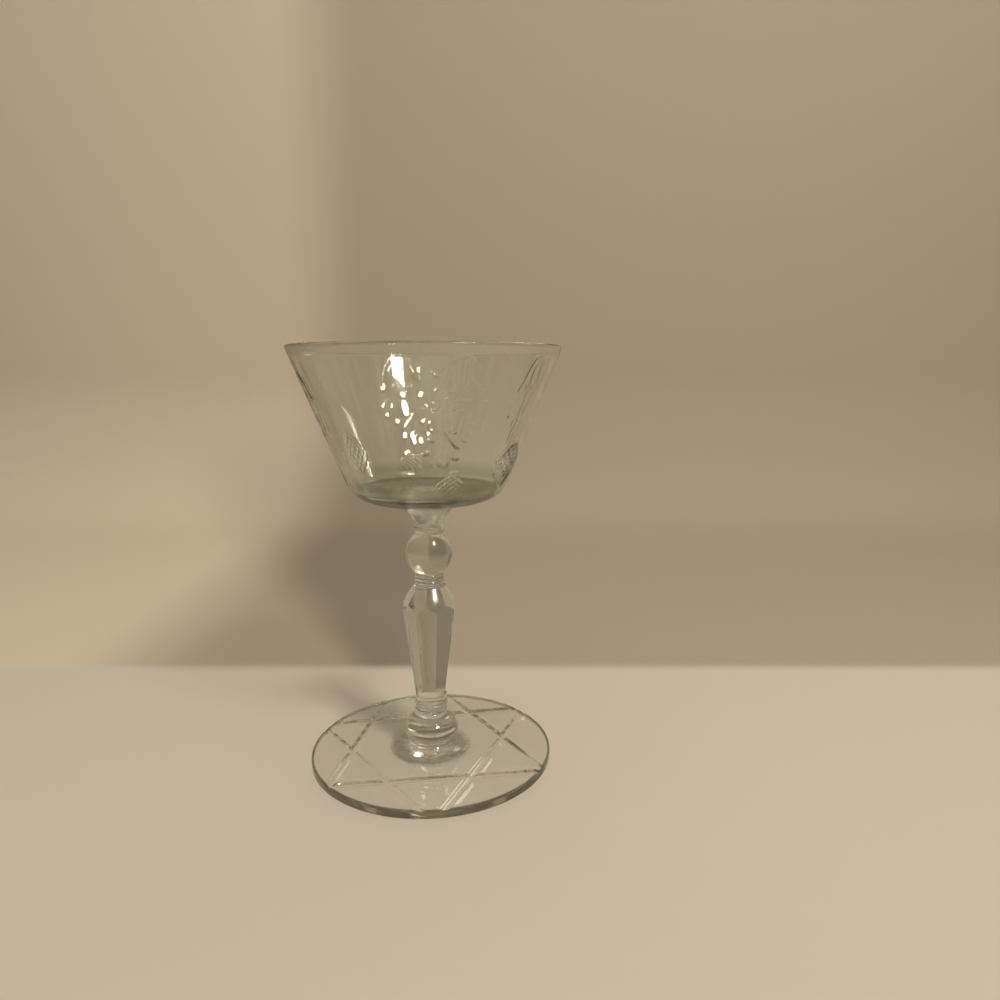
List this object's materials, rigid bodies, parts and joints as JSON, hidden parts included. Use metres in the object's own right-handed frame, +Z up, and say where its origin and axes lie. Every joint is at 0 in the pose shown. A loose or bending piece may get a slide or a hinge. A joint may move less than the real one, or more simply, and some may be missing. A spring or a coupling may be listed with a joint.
{
  "type": "sherbet glass",
  "caption": "Clear stemmed sherbet glass with a conical cut bowl, a stem with a ball knop and a faceted baluster, and a round foot with a cut star.",
  "frame": {"origin": "centre of the foot's underside, on the plane of the bearing ring that the glass stands on", "axes": "+Z up along the axis of the stem, -Y the front of the glass as pictured, +X to the right"},
  "size_m": [0.0794, 0.0794, 0.127],
  "materials": {
    "foot_glass": "pressed, cut star, polished, faintly green-grey",
    "stem_glass": "pressed, fire-polished, clear",
    "bowl_glass": "blown, fire-polished rim, polished cuts, clear"
  },
  "bodies": {
    "root": {"foot": "foot_glass", "stem": "stem_glass", "bowl": "bowl_glass"}
  },
  "joints": []
}
